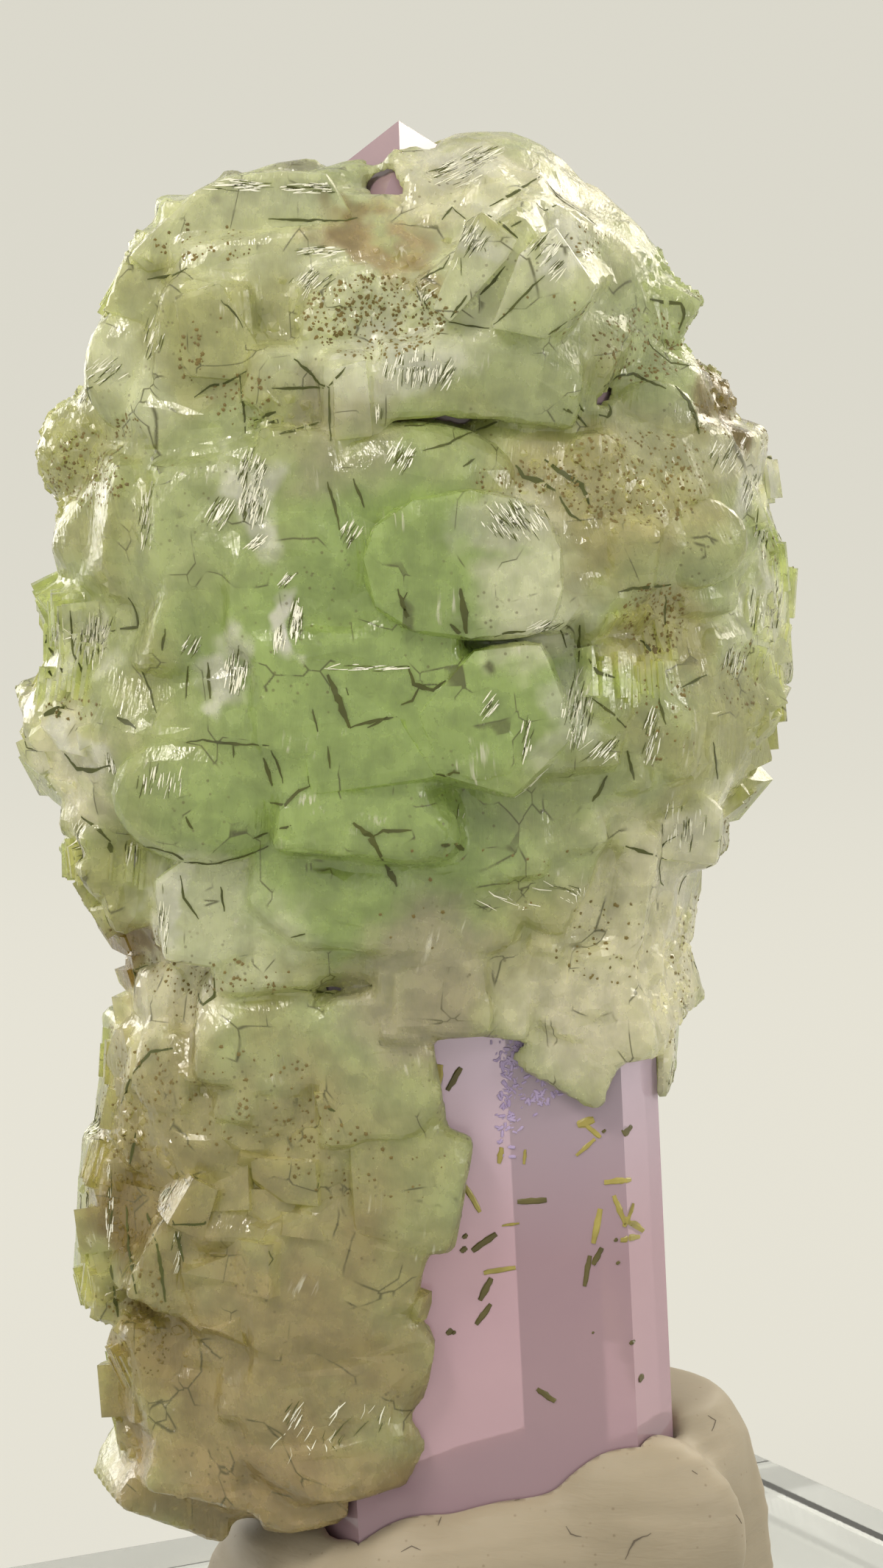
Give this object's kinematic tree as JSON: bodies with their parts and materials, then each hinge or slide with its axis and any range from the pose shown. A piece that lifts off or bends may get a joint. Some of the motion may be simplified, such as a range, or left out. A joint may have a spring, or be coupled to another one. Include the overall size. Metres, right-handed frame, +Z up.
{
  "type": "amethyst specimen",
  "caption": "Clear lilac quartz prism overgrown by blocky green prehnite, held upright by a lump of putty on a clear square display plate.",
  "frame": {"origin": "middle of the display plate's underside", "axes": "+Z up along the specimen's height; the side that the picture shows faces -Y"},
  "size_m": [0.1032, 0.1032, 0.1138],
  "materials": {
    "amethyst": "polished",
    "prehnite": "satin",
    "putty": "matte",
    "acrylic": "polished"
  },
  "bodies": {
    "root": {"amethyst_crystal": "amethyst", "prehnite_crust": "prehnite", "mounting_putty": "putty", "display_plate": "acrylic"}
  },
  "joints": []
}
